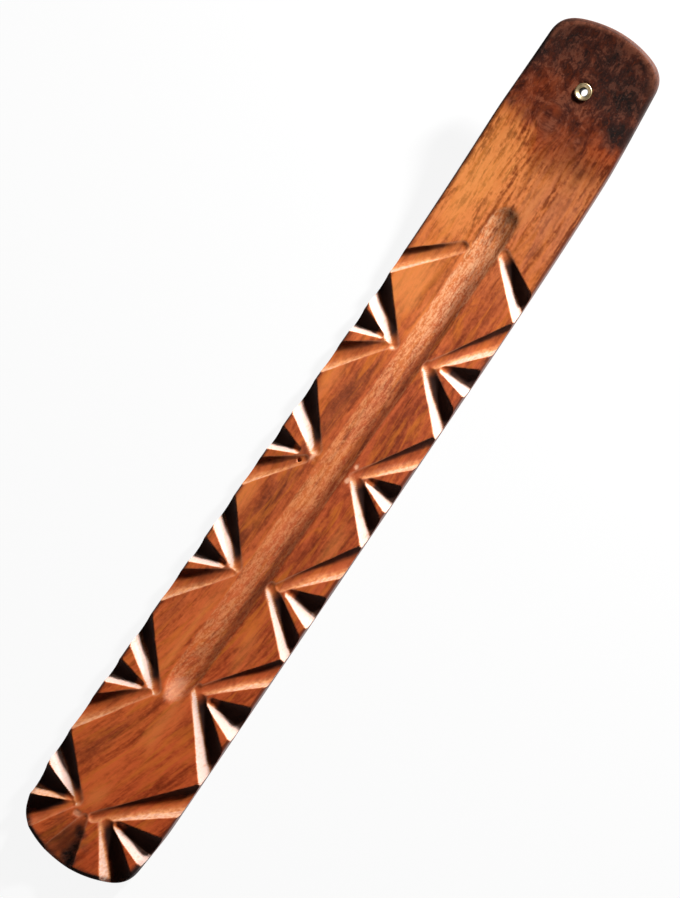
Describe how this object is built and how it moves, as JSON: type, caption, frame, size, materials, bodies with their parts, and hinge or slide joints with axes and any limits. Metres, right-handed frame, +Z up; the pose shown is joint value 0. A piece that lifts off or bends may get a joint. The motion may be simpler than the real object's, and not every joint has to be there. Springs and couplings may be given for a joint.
{
  "type": "incense stick holder",
  "caption": "Long carved wooden board with a curled-up end, an ash trough along its top, and a brass ferrule in the raised tip that holds one incense stick.",
  "frame": {"origin": "under the middle of the board, on the surface that it rests on", "axes": "+X along the board towards the raised tip, +Y across it, +Z up"},
  "size_m": [0.254, 0.0346, 0.0285],
  "materials": {
    "varnished_wood": "satin varnish",
    "brass_tube": "satin"
  },
  "bodies": {
    "root": {"carved_board": "varnished_wood", "stick_ferrule": "brass_tube"}
  },
  "joints": []
}
